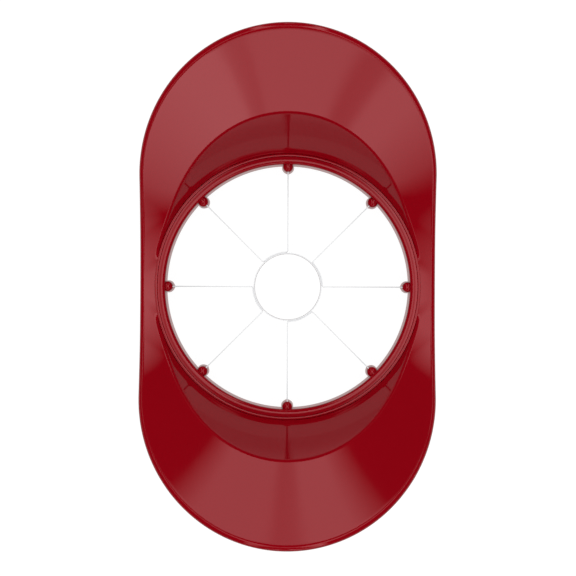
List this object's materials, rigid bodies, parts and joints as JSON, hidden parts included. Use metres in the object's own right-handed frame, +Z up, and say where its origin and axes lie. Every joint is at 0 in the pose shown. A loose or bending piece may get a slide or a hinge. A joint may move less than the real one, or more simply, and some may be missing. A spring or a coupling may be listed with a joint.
{
  "type": "apple wedger",
  "caption": "Hand apple wedger: an oval saddle-shaped glossy handle with raised wings round a ring of radial steel blades and a round corer, pressed down to cut and core an apple.",
  "frame": {"origin": "centre of the blade ring's flat foot, on the surface that the tool stands on", "axes": "+Y along the length, from wing to wing, +X across, +Z up along the ring's axis"},
  "size_m": [0.108, 0.1874, 0.0628],
  "materials": {
    "red_gloss_plastic": "moulded high gloss",
    "stainless_steel": "rolled strip, bright"
  },
  "bodies": {
    "root": {"handle_body": "red_gloss_plastic", "blade_ring": "red_gloss_plastic", "blade_strip_1": "stainless_steel", "blade_strip_2": "stainless_steel", "blade_strip_3": "stainless_steel", "blade_strip_4": "stainless_steel", "core_ring": "stainless_steel"}
  },
  "joints": []
}
